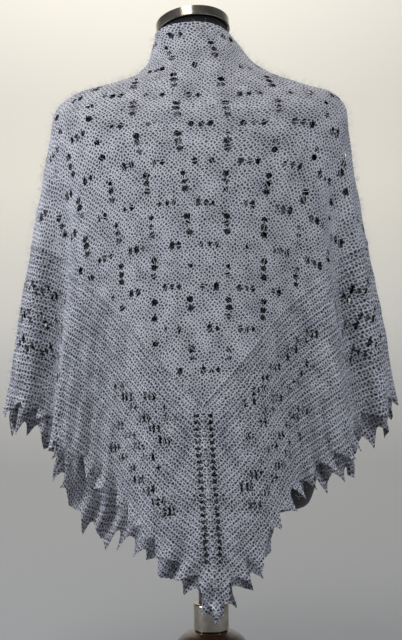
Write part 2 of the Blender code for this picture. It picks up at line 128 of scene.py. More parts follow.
# How the shawl hangs, with the same sizes and tables as the part's source. On the flat cloth s runs
# across from the spine and t down from the neck. p and q run along the two sides of the square
drape = {
    "halfDiagonal": 0.880,
    "centreHalfDiagonal": 0.585,
    "edgingWidth": 0.042,
    "pointPitch": 0.0415,
    "pointDepth": 0.025,
    "underLonger": 0.030,
    "neckHalfArc": 0.130,
    "fanEven": 0.36,  # share of the fan that opens evenly; the rest opens at the front edges
    "frontEase": 0.25,
    "foldRoom": 0.0026,
    "layerRoom": 0.0097,
    "foldRoomReach": 0.034,
    "pathAtCentre": 0.966,
    "pathAtSide": 0.185,
    "pathStep": 0.024,
    "pathStepAngle": 30,
    "pathStepWidth": 7,
    "backDrift": 0.016,
    "driftStart": 0.50,
    "driftReach": 0.36,
    "backFullness": 1.14,
    "edgeFullness": 1.60,
    "frontEdgeNeck": 130,
    "frontEdgeLeft": 150,
    "frontEdgeRight": 163,
    "frontEdgeReach": 0.25,
    "foldGrowth": 0.34,
    # path, half width, depth to the back and front, centre x and y, height at back, side and front
    "ringColumns": ("path", "half", "back", "front", "cx", "cy", "zBack", "zSide", "zFront"),
    "rings": (
        (0.00, 0.056, 0.057, 0.056, -0.018, 0.062, 0.959, 0.951, 0.930),
        (0.02, 0.063, 0.062, 0.061, -0.013, 0.058, 0.940, 0.934, 0.911),
        (0.05, 0.077, 0.067, 0.072, -0.006, 0.050, 0.912, 0.906, 0.884),
        (0.07, 0.094, 0.074, 0.084, -0.003, 0.046, 0.895, 0.893, 0.866),
        (0.12, 0.140, 0.097, 0.109, -0.003, 0.036, 0.851, 0.875, 0.822),
        (0.17, 0.186, 0.117, 0.125, -0.004, 0.028, 0.811, 0.858, 0.773),
        (0.20, 0.205, 0.124, 0.134, -0.007, 0.025, 0.787, 0.838, 0.744),
        (0.24, 0.211, 0.129, 0.143, -0.009, 0.020, 0.749, 0.800, 0.704),
        (0.34, 0.227, 0.136, 0.155, -0.011, 0.020, 0.649, 0.700, 0.604),
        (0.45, 0.241, 0.141, 0.160, -0.011, 0.020, 0.540, 0.590, 0.495),
        (0.55, 0.255, 0.147, 0.164, -0.010, 0.020, 0.440, 0.491, 0.395),
        (0.65, 0.269, 0.151, 0.167, -0.010, 0.020, 0.340, 0.391, 0.295),
        (0.95, 0.290, 0.157, 0.172, -0.010, 0.020, 0.041, 0.092, -0.004),
    ),
    # angle round the ring at the top and the hem, path where the fold starts, half width, depth
    "foldColumns": ("top", "hem", "start", "width", "depth"),
    "folds": (
        (-146, -145, 0.10, 8, -0.010), (-133, -132, 0.14, 9, 0.016), (-119, -119, 0.16, 9, -0.018),
        (-105, -105, 0.20, 9, 0.016), (-90, -91, 0.22, 9, -0.017), (-77, -79, 0.22, 8, 0.012),
        (-69, -71, 0.22, 7, 0.009), (-57, -58, 0.20, 7.5, -0.025), (-44, -45, 0.22, 7, 0.011),
        (-29, -28, 0.30, 7, -0.009), (-14, -12, 0.36, 7, 0.006), (0, 0, 0.40, 7, 0.004),
        (14, 13, 0.36, 7, 0.004), (29, 27, 0.30, 7, -0.011), (44, 45, 0.22, 7, 0.012),
        (57, 58, 0.20, 7, -0.027), (70, 71, 0.22, 8, 0.014), (84, 84, 0.22, 9, -0.017),
        (99, 99, 0.20, 9, 0.016), (113, 113, 0.18, 9, -0.017), (127, 127, 0.16, 9, 0.017),
        (141, 141, 0.14, 9, -0.016), (156, 155, 0.12, 9, 0.012),
    ),
    # angle on the flat cloth and half width of each place where a hem hangs lower or higher, and
    # the drop of the upper and under layers
    "sagColumns": ("angle", "width", "upper", "under"),
    "sags": (
        (-14.5, 5.4, 0.000, 0.048),
        (0.0, 2.6, -0.014, -0.033),
        (9.0, 4.0, -0.014, -0.046),
        (22.0, 5.0, 0.000, 0.012),
    ),
    "sagStart": 0.46,
    "sagReach": 0.38,
    "tableColumns": 601,  # samples round and down the shawl, about 4 mm apart
    "tableRows": 241,
    "tableMargin": 0.05,
    "rays": 8001,
    "halvings": 40,
    "ringSteps": 91,
}


def ringAt(path):
    # the ring of worn cloth at each distance down it
    table = np.array(drape["rings"])
    rows = table[:, 0]
    slopes = np.gradient(table, rows, axis=0)
    i = np.clip(np.searchsorted(rows, path) - 1, 0, len(rows) - 2)
    step = (rows[i + 1] - rows[i])[:, None]
    x = (path - rows[i])[:, None] / step
    return dict(zip(drape["ringColumns"], between(table, slopes, i, x, step).T))


def fanAngle(u):
    even = drape["fanEven"]
    return math.pi / 2 * (even * u + (1 - even) * u**5)


def rayOf(s, t):
    # the ray and the distance along it of each flat point, found by halving
    side = np.where(s < 0, -1.0, 1.0)
    s = np.abs(s)
    low, high = np.zeros_like(s), np.ones_like(s)
    for _ in range(drape["halvings"]):
        u = (low + high) / 2
        angle = fanAngle(u)
        beyond = (s - drape["neckHalfArc"] * u) * np.cos(angle) > t * np.sin(angle)
        low, high = np.where(beyond, u, low), np.where(beyond, high, u)
    return side * u, np.hypot(s - drape["neckHalfArc"] * u, t)


def columnOf(u):
    side = np.abs(u)
    return np.sign(u) * (drape["neckHalfArc"] * side + 0.5 * fanAngle(side))


def shareOfArc(a, ratio):
    # how far round the ring a share of the flat cloth lies, with its fullness at the back and edge
    first = np.maximum(1.0, ratio / drape["backFullness"])
    last = np.maximum(1.0, ratio / drape["edgeFullness"])
    return (3 * a**2 - 2 * a**3) + first * (a - 2 * a**2 + a**3) + last * (a**3 - a**2)


def ringAngle(u, d, ring, path):
    # the angle at which each ray crosses its ring, so that the cloth's width fits round it
    grid = np.radians(np.linspace(0, 180, drape["ringSteps"]))
    half, back, front = (ring[name][:, None] for name in ("half", "back", "front"))
    depth = np.where(np.cos(grid) > 0, back, front)
    speed = np.hypot(half * np.cos(grid), depth * np.sin(grid))
    arc = np.zeros_like(speed)
    arc[:, 1:] = np.cumsum((speed[:, 1:] + speed[:, :-1]) / 2 * np.diff(grid), axis=1)
    neck = drape["frontEdgeNeck"]
    far = np.where(u < 0, drape["frontEdgeLeft"], drape["frontEdgeRight"])
    edge = neck + (far - neck) * smoothStep(path / drape["frontEdgeReach"])
    side = np.abs(u)
    ease = drape["frontEase"]
    flat = drape["neckHalfArc"] * (side - ease * side**4) + d * fanAngle(side)
    whole = drape["neckHalfArc"] * (1 - ease) + d * math.pi / 2
    worn = np.array([np.interp(e, grid, row) for e, row in zip(np.radians(edge), arc)])
    goal = worn * shareOfArc(flat / whole, whole / worn)
    found = np.array([np.interp(g, row, grid) for g, row in zip(goal, arc)])
    return np.where(u < 0, -found, found)


def foldHeight(angle, path):
    total = np.zeros_like(angle)
    for row in drape["folds"]:
        fold = dict(zip(drape["foldColumns"], row))
        grown = smoothStep((path - fold["start"]) / drape["foldGrowth"])
        turned = smoothStep((path - fold["start"]) / (2 * drape["foldGrowth"]))
        turnedBy = (fold["hem"] - fold["top"]) * turned
        away = (angle - np.radians(fold["top"] + turnedBy)) / math.radians(fold["width"])
        total += fold["depth"] * grown * np.exp(-(away**2))
    return total


def wornPoint(u, d):
    onCloth = fanAngle(np.abs(u))
    pastStep = (np.degrees(onCloth) - drape["pathStepAngle"]) / drape["pathStepWidth"]
    step = drape["pathStep"] * pastStep * np.exp(-(pastStep**2))
    path = d * (drape["pathAtCentre"] + drape["pathAtSide"] * np.sin(2 * onCloth) ** 2 - step)
    ring = ringAt(path)
    angle = ringAngle(u, d, ring, path)
    sine, cosine = np.sin(angle), np.cos(angle)
    depth = np.where(cosine > 0, ring["back"], ring["front"])
    out = np.stack((depth * sine, -ring["half"] * cosine), axis=1)
    out /= np.linalg.norm(out, axis=1)[:, None]
    lift = foldHeight(angle, path)
    ends = np.where(cosine > 0, ring["zBack"], ring["zFront"])
    height = ring["zSide"] * sine**2 + ends * cosine**2
    drifting = smoothStep((path - drape["driftStart"]) / drape["driftReach"])
    drift = drape["backDrift"] * drifting * np.maximum(cosine, 0) ** 2
    x = ring["cx"] + ring["half"] * sine + out[:, 0] * lift + drift
    y = ring["cy"] - depth * cosine + out[:, 1] * lift
    return np.stack((x, y, height), axis=1)


def makeDrapeTable():
    # worn places and outward normals on an even grid of column and distance
    dense = np.linspace(-1, 1, drape["rays"])
    columns = np.linspace(columnOf(-1.0), columnOf(1.0), drape["tableColumns"])
    rays = np.interp(columns, columnOf(dense), dense)
    longest = drape["halfDiagonal"] + drape["underLonger"] + drape["tableMargin"]
    rows = np.linspace(0, longest, drape["tableRows"])
    u, d = np.meshgrid(rays, rows, indexing="ij")
    place = wornPoint(u.ravel(), d.ravel()).reshape(*u.shape, 3)
    normal = unit(np.cross(np.gradient(place, axis=0), -np.gradient(place, axis=1)))
    return columns, rows, place, normal


tableColumns, tableRows, tablePlace, tableNormal = makeDrapeTable()
print("drape table ready")


def sagged(s, t, u, d, layer):
    # the distance down each ray, longer or shorter where the layer's hem hangs lower or higher
    angle = np.degrees(np.sign(u) * fanAngle(np.abs(u)))
    total = np.zeros_like(d)
    for row in drape["sags"]:
        sag = dict(zip(drape["sagColumns"], row))
        total += sag[layer] * np.exp(-(((angle - sag["angle"]) / sag["width"]) ** 2))
    return d + total * smoothStep((np.abs(s) + t - drape["sagStart"]) / drape["sagReach"])


def sample(table, s, t, layer):
    # the drape table's value at flat points, between its four nearest samples
    u, d = rayOf(s, t)
    d = sagged(s, t, u, d, layer)
    x = (columnOf(u) - tableColumns[0]) / (tableColumns[1] - tableColumns[0])
    y = d / tableRows[1]
    i = np.clip(x.astype(int), 0, len(tableColumns) - 2)
    j = np.clip(y.astype(int), 0, len(tableRows) - 2)
    fx, fy = (x - i)[:, None], (y - j)[:, None]
    low = table[i, j] * (1 - fx) + table[i + 1, j] * fx
    high = table[i, j + 1] * (1 - fx) + table[i + 1, j + 1] * fx
    return low * (1 - fy) + high * fy


def layerDepth(t, under):
    # the under layer lies inside the upper one, closer to it at the fold
    near, far = drape["foldRoom"], drape["layerRoom"]
    room = near + (far - near) * smoothStep(t / drape["foldRoomReach"])
    return -room if under else np.zeros_like(room)


def wornPlace(s, t, under, proud):
    # flat point to its worn place; proud moves it out from the layer's middle
    layer = "under" if under else "upper"
    normal = unit(sample(tableNormal, s, t, layer))
    return sample(tablePlace, s, t, layer) + normal * (layerDepth(t, under) + proud)[:, None]


# Eyelets, as flat place, width and height, all in metres
lace = {
    "pitch": 0.0575,
    "firstColumn": -0.014,
    "aboveCorner": 0.050,
    "margin": 0.014,
    "lean": 0.11,
    "leanBelow": 0.36,
    "leanWidth": 0.15,
    "eyeletStep": 0.0110,
    "runAcross": (0.0098, 0.0084),
    "runAlong": (0.0076, 0.0100),
    "underShift": (0.0085, 0.0060),
    "uneven": (0.55, 1.30),
    "smallest": 0.66,
    "largest": 1.1,
    "rounder": (0.9, 1.1),
    "jitter": 0.0009,
    "ladderFromSpine": 0.0105,
    "ladderStep": 0.00925,
    "ladderStart": 0.014,
    "ladderEnd": 0.004,
    "underLadder": (0.25, 0.35),  # of the under layer's extra length, out from the spine and down
    "ladderLeft": (0.0098, 0.0052),
    "ladderRight": (0.0074, 0.0064),
    "stairStep": 0.0235,
    # side or 0 for both, distance out from the seam, and each stair's start and end from the corner
    "stairs": (
        (1, 0.046, 0.057, 0.235), (1, 0.080, 0.026, 0.203), (1, 0.118, -0.033, 0.153),
        (1, 0.144, -0.042, 0.122), (-1, 0.044, 0.028, 0.092), (-1, 0.072, 0.016, 0.150),
        (-1, 0.107, 0.000, 0.112), (-1, 0.141, -0.052, 0.090), (0, 0.046, 0.330, 0.490),
        (0, 0.080, 0.300, 0.460), (0, 0.114, 0.270, 0.430),
    ),
    "stairSlit": (0.0047, 0.0118),
    "stairSlitStep": 0.0080,
    "stairSlitDrop": 0.0012,
    "hemMargin": 0.012,
    "spineMargin": 0.006,
    "seamMargin": 0.010,
    "birdEye": 0.0078,
    "birdEyeStep": 0.0125,
    "birdEyeSpots": ((0.560, 0.060), (0.610, 0.090), (0.560, 0.120), (0.650, 0.052), (0.660, 0.115)),
}


def leaning(s, t):
    # the lattice leans to the left above its middle, where the shawl is drawn round the neck
    share = min(1.0, max(0.0, 1 - s / lace["leanWidth"]))
    return s - lace["lean"] * share * max(0.0, lace["leanBelow"] - t), t


def latticeEyelets(shift):
    # runs of three eyelets on the sides of the centre's squares
    centre = drape["centreHalfDiagonal"]
    reach = int(centre / lace["pitch"]) + 1
    found = []
    for column in range(-reach, reach + 1):
        for row in range(reach):
            s = lace["firstColumn"] + column * lace["pitch"] + shift[0]
            t = centre - lace["aboveCorner"] - row * lace["pitch"] + shift[1]
            for k in (-1, 0, 1):
                step = k * lace["eyeletStep"]
                found.append((*leaning(s, t - lace["pitch"] / 2 + step), *lace["runAcross"]))
                found.append((*leaning(s + lace["pitch"] / 2 + step, t), *lace["runAlong"]))
    room = lace["margin"]
    return uneven([e for e in found if abs(e[0]) + e[1] < centre - room and e[1] > room], 3)


def uneven(eyelets, seed):
    # hand-knitted holes differ, and the smallest close up
    dice = random.Random(seed)
    jitter = lace["jitter"]
    found = []
    for s, t, width, height in eyelets:
        share = dice.uniform(*lace["uneven"])
        if share > lace["smallest"]:
            share = min(share, lace["largest"])
            place = (s + dice.uniform(-jitter, jitter), t + dice.uniform(-jitter, jitter))
            found.append((*place, width * share, height * share * dice.uniform(*lace["rounder"])))
    return found


def borderEyelets(side, longer):
    # one side's eyelets: a ladder beside the spine, then staircases of slits and bird's eyes, which
    # are worked out for the right side and mirrored for the left
    centre = drape["centreHalfDiagonal"]
    end = drape["halfDiagonal"] + longer - drape["edgingWidth"] * math.sqrt(2) - lace["hemMargin"]
    size = lace["ladderLeft"] if side < 0 else lace["ladderRight"]
    outMore, downMore = lace["underLadder"]
    ladder, found = [], []
    t = centre + lace["ladderStart"] + longer * downMore
    while t < end - lace["ladderEnd"]:
        ladder.append((side * (lace["ladderFromSpine"] + longer * outMore), t, *size))
        t += lace["ladderStep"]
    for ownSide, across, start, stop in lace["stairs"]:
        if ownSide == -side:
            continue
        for step in range(int((stop - start) / lace["stairStep"]) + 1):
            along = start + step * lace["stairStep"]
            s, t = (along + across) / math.sqrt(2), centre + (across - along) / math.sqrt(2)
            for k in (-1, 0, 1):
                slit = (s + k * lace["stairSlitStep"], t - k * lace["stairSlitDrop"])
                found.append((*slit, *lace["stairSlit"]))
    for along, across in lace["birdEyeSpots"]:
        for a, b in ((0, 0), (1, 0), (-1, 0), (0, 1), (0, -1)):
            s = (along + across) / math.sqrt(2) + a * lace["birdEyeStep"]
            t = centre + (across - along) / math.sqrt(2) + b * lace["birdEyeStep"]
            found.append((s, t, lace["birdEye"], lace["birdEye"]))
    inside = []
    for s, t, width, height in found:
        clear = s > lace["spineMargin"] and t > lace["seamMargin"]
        if clear and centre + lace["seamMargin"] < s + t < end:
            inside.append((side * s, t, width, height))
    return ladder, uneven(inside, 5 + side)


# Kid mohair and silk, two plies of about 0.4 mm: a soft grey with a blue cast and a hairy halo;
# the gaps between the stitches are painted near black as shadow and the strands lighter as highlight
yarn = {
    # the first colour is a painted highlight on the strands, the third a painted shade on their sides
    # and the fourth a painted shadow in the gaps; the second is the yarn's own colour
    "highlightAndLightHairs": "#eceef5",
    "body": "#8f929d",
    "paintedShade": "#3c3f48",
    "paintedGapShadow": "#0c0e12",
    "sheen": "#c8cad6",
    "stitch": (0.0043, 0.0050),  # across and along the rows
    "stitchUneven": 0.66,
    "wander": 0.0030,
    "wanderScale": 75.0,
    "gapAway": (0.45, 0.36),  # where a loop ends, in stitches, away from and beside an eyelet
    "ridge": 0.0072,
    "ridgeReliefAndShade": 0.17,
    "seamBlend": 0.001,
    "hairScale": 560.0,  # plies and hairs, about half a millimetre, drawn at 1 mm so that they show
    "hairShare": 1.3,
    "patchScale": 34.0,
    "patchShare": 0.9,
    # painted shade: the border, past the seam, is made darker than the centre, though it is the same
    # yarn
    "borderPaintedShade": -0.62,
    "tones": (0.82, 2.20),
    "relief": 0.0013,
    "reliefStrength": 0.9,
}


def makeYarn(name, paintedShade):
    # loops of yarn round gaps, one to a stitch and uneven, more open beside the eyelets; the gaps
    # are painted dark as shadow and the strands light as highlight. The border, past the seam, has
    # ridges along it
    material, tree, shader = newMaterial(name, Roughness=0.92, IOR=1.5, Sheen_Weight=0.30,
                                         Sheen_Roughness=0.55)
    shader.inputs["Sheen Tint"].default_value = linear(yarn["sheen"])
    flat = addNode(tree, "UVMap", {"uv_map": "flat"})
    drift = addNode(tree, "TexNoise", inputs={"Scale": yarn["wanderScale"], "Detail": 2.0},
                    links={"Vector": flat})
    centred = addNode(tree, "VectorMath", {"operation": "SUBTRACT"}, {1: (0.5, 0.5, 0.5)},
                      {0: drift.outputs["Color"]})
    scaled = addNode(tree, "VectorMath", {"operation": "SCALE"}, {"Scale": yarn["wander"]},
                     {0: centred})
    moved = addNode(tree, "VectorMath", {"operation": "ADD"}, links={0: flat, 1: scaled})
    across, along = yarn["stitch"]
    counted = addNode(tree, "Mapping", inputs={"Scale": (1 / across, 1 / along, 1.0)},
                      links={"Vector": moved})
    loops = addNode(tree, "TexVoronoi", {"feature": "DISTANCE_TO_EDGE", "voronoi_dimensions": "2D"},
                    {"Scale": 1.0, "Randomness": yarn["stitchUneven"]}, {"Vector": counted})
    # more open knitting beside the eyelets widens the gaps, and with them the shadow painted in them
    opened = addNode(tree, "Attribute", {"attribute_name": "open"})
    closedGap, openGap = yarn["gapAway"]
    reach = addNode(tree, "MapRange", inputs={"To Min": closedGap, "To Max": openGap},
                    links={"Value": opened.outputs["Fac"]})
    # painted shade and highlight: the tone runs from light along each strand to near black in the gap
    # between loops, in place of real holes
    thread = addNode(tree, "MapRange", {"interpolation_type": "SMOOTHSTEP"},
                     {"From Min": 0.02, "To Min": 1.0, "To Max": 0.0},
                     {"Value": loops.outputs["Distance"], "From Max": reach})
    # ridges along the border, from the seam outwards; they raise the relief and also paint highlight
    # and shade in stripes along them
    axes = addNode(tree, "SeparateXYZ", links={0: moved})
    seam, blend = drape["centreHalfDiagonal"] / math.sqrt(2), yarn["seamBlend"]
    past = addNode(tree, "MapRange", links={"Value": axes.outputs["X"]}, inputs={
        "From Min": seam - blend, "From Max": seam + blend, "To Max": yarn["ridgeReliefAndShade"]})
    turn = addNode(tree, "Math", {"operation": "MULTIPLY"}, {1: 2 * math.pi / yarn["ridge"]},
                   {0: axes.outputs["X"]})
    wave = addNode(tree, "Math", {"operation": "SINE"}, links={0: turn})
    ridged = addNode(tree, "Math", {"operation": "MULTIPLY_ADD"}, links={0: wave, 1: past, 2: thread})
    hairs = addNode(tree, "TexNoise", links={"Vector": flat},
                    inputs={"Scale": yarn["hairScale"], "Detail": 3.0, "Roughness": 0.75})
    patch = addNode(tree, "TexNoise", inputs={"Scale": yarn["patchScale"], "Detail": 4.0},
                    links={"Vector": flat})
    sums = [ridged]
    # hairs and patches vary the tone at random; the border is painted darker as shade
    for part, share in ((hairs, "hairShare"), (patch, "patchShare"), (past, "borderPaintedShade")):
        sums.append(addNode(tree, "Math", {"operation": "MULTIPLY_ADD"}, {1: yarn[share]},
                            {0: part, 2: sums[-1]}))
    darkest, lightest = yarn["tones"]
    spread = addNode(tree, "MapRange", inputs={"From Min": darkest, "From Max": lightest},
                     links={"Value": sums[-1]})
    # painted light and shade: the darkest stop is shadow painted in the gaps, the next shade painted
    # on the strands' sides, then the yarn's own colour, and the lightest a painted highlight that
    # lighter hairs also reach
    colour = ramp(tree, spread, (0.0, yarn["paintedGapShadow"]), (0.26, yarn["paintedShade"]),
                  (0.56, yarn["body"]), (1.0, yarn["highlightAndLightHairs"]))
    # sockets 6 and 7 of a colour Mix are its A and B, and output 2 is its result
    # painted shade: the colour is multiplied by a tint, white for the upper layer and greyer for the
    # under layer, as if the upper layer shadowed it
    paintedShadeMix = addNode(tree, "Mix", {"data_type": "RGBA", "blend_type": "MULTIPLY"},
                     {0: 1.0, 7: linear(paintedShade)}, {6: colour})
    paint(tree, shader, paintedShadeMix.outputs[2], sums[1], yarn["reliefStrength"], yarn["relief"])
    return material


upperYarn = makeYarn("hand_knitted_mohair", "#ffffff")
# the under layer is the same yarn with painted shade
underYarn = makeYarn("hand_knitted_mohair_under_painted_shade", "#e4e2e4")


# Mesh cells and small relief of the cloth, in metres. A drift or swell is rows of size and turns
cloth = {
    "upperCell": 0.0022,
    "underCell": 0.0036,
    "rimCatch": 0.62,  # how near an eyelet's rim a mesh point is moved onto it, in cells
    "rimInside": 0.92,
    "openReach": 0.0095,
    "openShare": 1.6,
    "pucker": 0.0010,
    "puckerBlend": 0.03,
    "wavy": 0.0009,
    "spineRidge": 0.0016,
    "spineWidth": 0.0035,
    "spineBlend": 0.02,
    "seamRidge": 0.0012,
    "seamWidth": 0.0030,
    "underRelief": 0.6,
    "tipLonger": (-0.010, 0.004),
    "tipLean": (-0.011, 0.011),
    "tipCurve": 1.6,
    "tipDrift": ((0.22, 40), (0.15, 97)),
    "tipSwing": 0.0035,
    "tipJitter": 0.0009,
    "cornerPoints": 1.5,  # points that grow shallow towards a corner, so that it stays whole
    "ruffle": 0.0062,
    "ruffleStart": 0.805,
    "ruffleDrift": ((0.9, 33), (0.5, 61)),
    "ruffleSwell": ((0.3, 27),),
    "gather": 0.0037,
    "gatherPitch": 0.029,
    "gatherDrift": ((1.1, 29),),
    "gatherSwell": ((0.3, 41),),
    "gatherDown": (0.40, 0.30),  # where gathers start and how far they take to grow
    "gatherRound": (0.22, 0.3),
    "creaseSway": (1.2, 9),
    # creases that run down the cloth: angle on the flat cloth, distances where each starts and is
    # full, half width in degrees, depth out (+) or in (-)
    "creases": (
        (-70, 0.20, 0.50, 2.0, -0.004), (-61, 0.25, 0.60, 1.8, 0.004), (-52, 0.20, 0.45, 2.2, -0.005),
        (-43, 0.30, 0.55, 1.8, 0.004), (-35, 0.24, 0.46, 2.0, 0.005), (-28, 0.20, 0.42, 2.2, -0.007),
        (-21, 0.36, 0.60, 1.8, 0.005), (-15, 0.46, 0.64, 1.6, -0.004), (13, 0.50, 0.68, 1.6, -0.003),
        (18, 0.42, 0.62, 1.7, 0.004), (24, 0.26, 0.50, 2.0, -0.006), (30, 0.22, 0.44, 1.9, 0.005),
        (37, 0.30, 0.52, 1.8, -0.005), (46, 0.24, 0.50, 2.0, 0.004), (55, 0.20, 0.48, 2.2, -0.005),
        (64, 0.28, 0.60, 1.8, 0.004), (72, 0.22, 0.52, 2.0, -0.004),
    ),
}


def alongSquare(s, t):
    # across and down, to along the two sides of the square
    return (s + t) / math.sqrt(2), (t - s) / math.sqrt(2)


def acrossAndDown(p, q):
    # and back
    return (p - q) / math.sqrt(2), (p + q) / math.sqrt(2)


def gridBetween(low, high, cell):
    # from low to high along one side of the square, and as far as high both ways along the other
    bm = bmesh.new()
    columns = max(2, round((high - low) / cell))
    rows = max(2, round(2 * high / cell))
    bmesh.ops.create_grid(bm, x_segments=columns, y_segments=rows, size=0.5)
    bmesh.ops.scale(bm, vec=(high - low, 2 * high, 1), verts=bm.verts)
    bmesh.ops.translate(bm, vec=((low + high) / 2, 0, 0), verts=bm.verts)
    return bm


def cutAway(bm, away):
    # keeps what lies on the side of the neck's middle that away points from
    geometry = bm.verts[:] + bm.edges[:] + bm.faces[:]
    bmesh.ops.bisect_plane(bm, geom=geometry, dist=1e-6, plane_co=(0, 0, 0), plane_no=(*away, 0),
                           clear_outer=True)


def openEyelets(bm, eyelets, cell, side):
    # moves the mesh's points onto each eyelet's rim, then takes out the faces inside it
    if not eyelets:
        return
    bm.verts.ensure_lookup_table()
    s, t = acrossAndDown(*np.array([v.co[:2] for v in bm.verts]).T)
    s = side * s
    nearest = np.full(len(s), np.inf)
    newS, newT = s.copy(), t.copy()
    for es, et, width, height in eyelets:
        near = np.nonzero((np.abs(s - es) < width) & (np.abs(t - et) < height))[0]
        a, b = width / 2, height / 2
        away = np.hypot((s[near] - es) / a, (t[near] - et) / b)
        miss = np.abs(away - 1) * (a + b) / 2
        move = (miss < cell * cloth["rimCatch"]) & (miss < nearest[near]) & (away > 0.1)
        chosen = near[move]
        nearest[chosen] = miss[move]
        newS[chosen] = es + (s[chosen] - es) / away[move]
        newT[chosen] = et + (t[chosen] - et) / away[move]
    for v, p, q in zip(bm.verts, *alongSquare(newS * side, newT)):
        v.co.x, v.co.y = p, q
    ms, mt = acrossAndDown(*np.array([f.calc_center_median()[:2] for f in bm.faces]).T)
    ms = side * ms
    gone = np.zeros(len(ms), bool)
    for es, et, width, height in eyelets:
        away = ((ms - es) / width * 2) ** 2 + ((mt - et) / height * 2) ** 2
        gone |= away < cloth["rimInside"]
    faces = [f for f, out in zip(bm.faces, gone) if out]
    bmesh.ops.delete(bm, geom=faces, context="FACES")


def pointedEdge(bm, band, half, seed):
    # stretches the edging's rows so that they end on ragged points, each a little different
    dice = random.Random(seed)
    count = round(half * math.sqrt(2) / drape["pointPitch"])
    longer = [dice.uniform(*cloth["tipLonger"]) for _ in range(count + 3)]
    lean = [dice.uniform(*cloth["tipLean"]) for _ in range(count + 3)]
    phase = dice.uniform(0, 6)
    jitter = cloth["tipJitter"]
    low, high = band / math.sqrt(2), half / math.sqrt(2)
    swings = {}
    for v in bm.verts:
        even = (v.co.y * math.sqrt(2) + half) / (2 * half)
        share = even * count
        for size, turns in cloth["tipDrift"]:
            share += size * math.sin(even * turns + phase)
        index = min(count, max(0, round(share)))
        local = min(1.0, abs(share - index) * 2)
        settled = min(1.0, min(even, 1 - even) * count / cloth["cornerPoints"])
        tip = (1 - local) ** 2 * settled
        cut = drape["pointDepth"] * (1 - (1 - local) ** cloth["tipCurve"]) * settled
        edge = high - cut + longer[index] * tip
        out = max(0.0, (v.co.x - low) / (high - low))
        v.co.x = low + (edge - low) * out + dice.uniform(-jitter, jitter) * out**3
        v.co.y += lean[index] * tip * out * out
        swings[v.index] = (index, tip * out * out)
    return swings


def markOpen(mesh, s, t, eyelets):
    # how open the knitting is at each point: 1 at an eyelet, 0 from a stitch or two away
    openness = np.zeros(len(s))
    reach = cloth["openReach"]
    for es, et, _, _ in eyelets:
        near = np.nonzero((np.abs(s - es) < reach) & (np.abs(t - et) < reach))[0]
        share = 1 - np.hypot(s[near] - es, t[near] - et) / reach
        openness[near] = np.maximum(openness[near], share)
    openness = np.clip(openness * cloth["openShare"], 0, 1)
    # the yarn's material widens its painted gap shadow where this is high
    mesh.attributes.new("open", "FLOAT", "POINT").data.foreach_set("value", openness)


def hang(obj, side, under, eyelets, swings, seed):
    # keeps the flat cloth as the UV map, then moves each point to its worn place
    mesh = obj.data
    flat = np.zeros(len(mesh.vertices) * 3)
    mesh.vertices.foreach_get("co", flat)
    p, q = flat.reshape(-1, 3)[:, :2].T
    uv = mesh.uv_layers.new(name="flat")
    corner = np.zeros(len(mesh.loops), np.int32)
    mesh.loops.foreach_get("vertex_index", corner)
    uv.data.foreach_set("uv", np.stack((p[corner], q[corner]), axis=1).ravel())
    s, t = acrossAndDown(p, q)
    s, t = side * s, np.maximum(t, 0.0)
    markOpen(mesh, s, t, eyelets)
    proud = softRelief(s, t, under) + ruffle(s, t)
    if swings is not None:
        dice = random.Random(seed)
        turn = [dice.uniform(-1.0, 1.0) for _ in range(80)]
        proud = proud + np.array([turn[k] * share for k, share in swings]) * cloth["tipSwing"]
    mesh.vertices.foreach_set("co", wornPlace(s, t, under, proud).ravel())
    mesh.update()


def ruffle(s, t):
    # the edging is fuller than the cloth it hangs from, so both layers flute together at the hem
    _, q = alongSquare(np.abs(s), t)
    toHem = drape["halfDiagonal"] - cloth["ruffleStart"]
    grown = smoothStep((np.abs(s) + t - cloth["ruffleStart"]) / toHem)
    along = drifted(2 * math.pi * q / drape["pointPitch"], q, cloth["ruffleDrift"])
    flutes = cloth["ruffle"] * grown * np.cos(along) * drifted(0.8, q, cloth["ruffleSwell"])
    # soft gathers that run down the sides, where the cloth is fullest
    u, d = rayOf(s, t)
    column = columnOf(u)
    (down, downReach), (around, roundReach) = cloth["gatherDown"], cloth["gatherRound"]
    full = smoothStep((d - down) / downReach) * smoothStep((np.abs(u) - around) / roundReach)
    turn = drifted(2 * math.pi * column / cloth["gatherPitch"], column, cloth["gatherDrift"])
    gathers = cloth["gather"] * full * np.cos(turn) * drifted(0.85, column, cloth["gatherSwell"])
    angle = np.degrees(np.sign(u) * fanAngle(np.abs(u)))
    sway, turns = cloth["creaseSway"]
    folded = np.zeros_like(d)
    for middle, start, end, width, depth in cloth["creases"]:
        bent = middle + sway * np.sin(d * turns + middle)
        grown = smoothStep((d - start) / (end - start))
        folded += depth * grown * np.exp(-(((angle - bent) / width) ** 2))
    return flutes + gathers + folded


def softRelief(s, t, under):
    # squares of the centre puff a little between their lace lines; the knitting is never quite flat
    corner = drape["centreHalfDiagonal"]
    a = (s - lace["firstColumn"]) / lace["pitch"] * 2 * math.pi
    b = (t - corner + lace["aboveCorner"]) / lace["pitch"] * 2 * math.pi
    inCentre = smoothStep((corner - np.abs(s) - t) / cloth["puckerBlend"])
    puff = -(np.cos(a) + np.cos(b)) / 2 * cloth["pucker"] * inCentre
    wavy = np.sin(drifted(s * 71, t, ((3, 23),))) * np.sin(drifted(t * 59, s, ((2, 31),)))
    # a ridge down the spine below the centre's corner, and one along each seam
    below = smoothStep((t - corner) / cloth["spineBlend"])
    spine = cloth["spineRidge"] * np.exp(-((s / cloth["spineWidth"]) ** 2)) * below
    away = (np.abs(s) + t - corner) / math.sqrt(2)
    seam = cloth["seamRidge"] * np.exp(-((away / cloth["seamWidth"]) ** 2))
    relief = puff + wavy * cloth["wavy"] + spine + seam
    return relief * (cloth["underRelief"] if under else 1.0)


